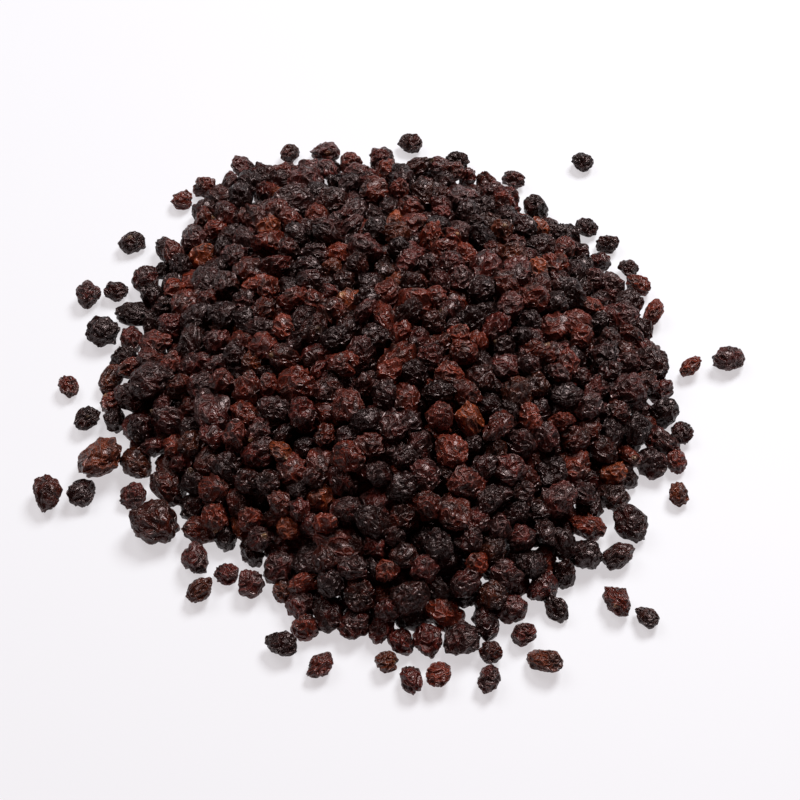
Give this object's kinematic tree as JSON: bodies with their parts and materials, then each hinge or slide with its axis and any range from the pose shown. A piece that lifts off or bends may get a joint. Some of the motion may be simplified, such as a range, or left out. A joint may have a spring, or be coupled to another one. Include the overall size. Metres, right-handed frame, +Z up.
{
  "type": "heap of dried currants",
  "caption": "Low heap of small dried currants, wrinkled and dark, with loose ones lying round its foot.",
  "frame": {"origin": "on the table the heap lies on, under the middle of the heap", "axes": "+Z up, +X to the right and +Y away from the viewer of the reference view"},
  "size_m": [0.1505, 0.1455, 0.0235],
  "materials": {
    "black_skin": "blue-black to dark brown wrinkled fruit skin, half glossy, with a thin grey bloom on the ridges",
    "brown_skin": "dark brown wrinkled fruit skin, half glossy, paler and redder on the ridges",
    "red_skin": "red-brown wrinkled fruit skin, half glossy, light glows through its thin folds",
    "amber_skin": "orange-brown wrinkled fruit skin, half glossy, light glows through its thin folds"
  },
  "bodies": {
    "root": {"currant_heap": "black_skin", "currant_loose_01": "brown_skin", "currant_loose_02": "black_skin", "currant_loose_03": "black_skin", "currant_loose_04": "black_skin", "currant_loose_05": "red_skin", "currant_loose_06": "brown_skin", "currant_loose_07": "red_skin", "currant_loose_08": "black_skin", "currant_loose_09": "brown_skin", "currant_loose_10": "black_skin", "currant_loose_11": "black_skin", "currant_loose_12": "red_skin", "currant_loose_13": "red_skin", "currant_loose_14": "red_skin", "currant_loose_15": "brown_skin", "currant_loose_16": "red_skin", "currant_loose_17": "black_skin", "currant_loose_18": "black_skin", "currant_loose_19": "brown_skin", "currant_loose_20": "amber_skin", "currant_loose_21": "brown_skin", "currant_loose_22": "black_skin", "currant_loose_23": "brown_skin", "currant_loose_24": "amber_skin", "currant_loose_25": "brown_skin", "currant_loose_26": "black_skin", "currant_loose_27": "amber_skin", "currant_loose_28": "red_skin", "currant_loose_29": "black_skin", "currant_loose_30": "red_skin", "currant_loose_31": "black_skin", "currant_loose_32": "amber_skin", "currant_loose_33": "brown_skin", "currant_loose_34": "brown_skin", "currant_loose_35": "black_skin", "currant_loose_36": "black_skin", "currant_loose_37": "amber_skin", "currant_loose_38": "black_skin", "currant_loose_39": "red_skin", "currant_loose_40": "black_skin", "currant_loose_41": "red_skin", "currant_loose_42": "amber_skin", "currant_loose_43": "black_skin", "currant_loose_44": "brown_skin", "currant_loose_45": "brown_skin", "currant_loose_46": "black_skin", "currant_loose_47": "black_skin", "currant_loose_48": "brown_skin"}
  },
  "joints": []
}
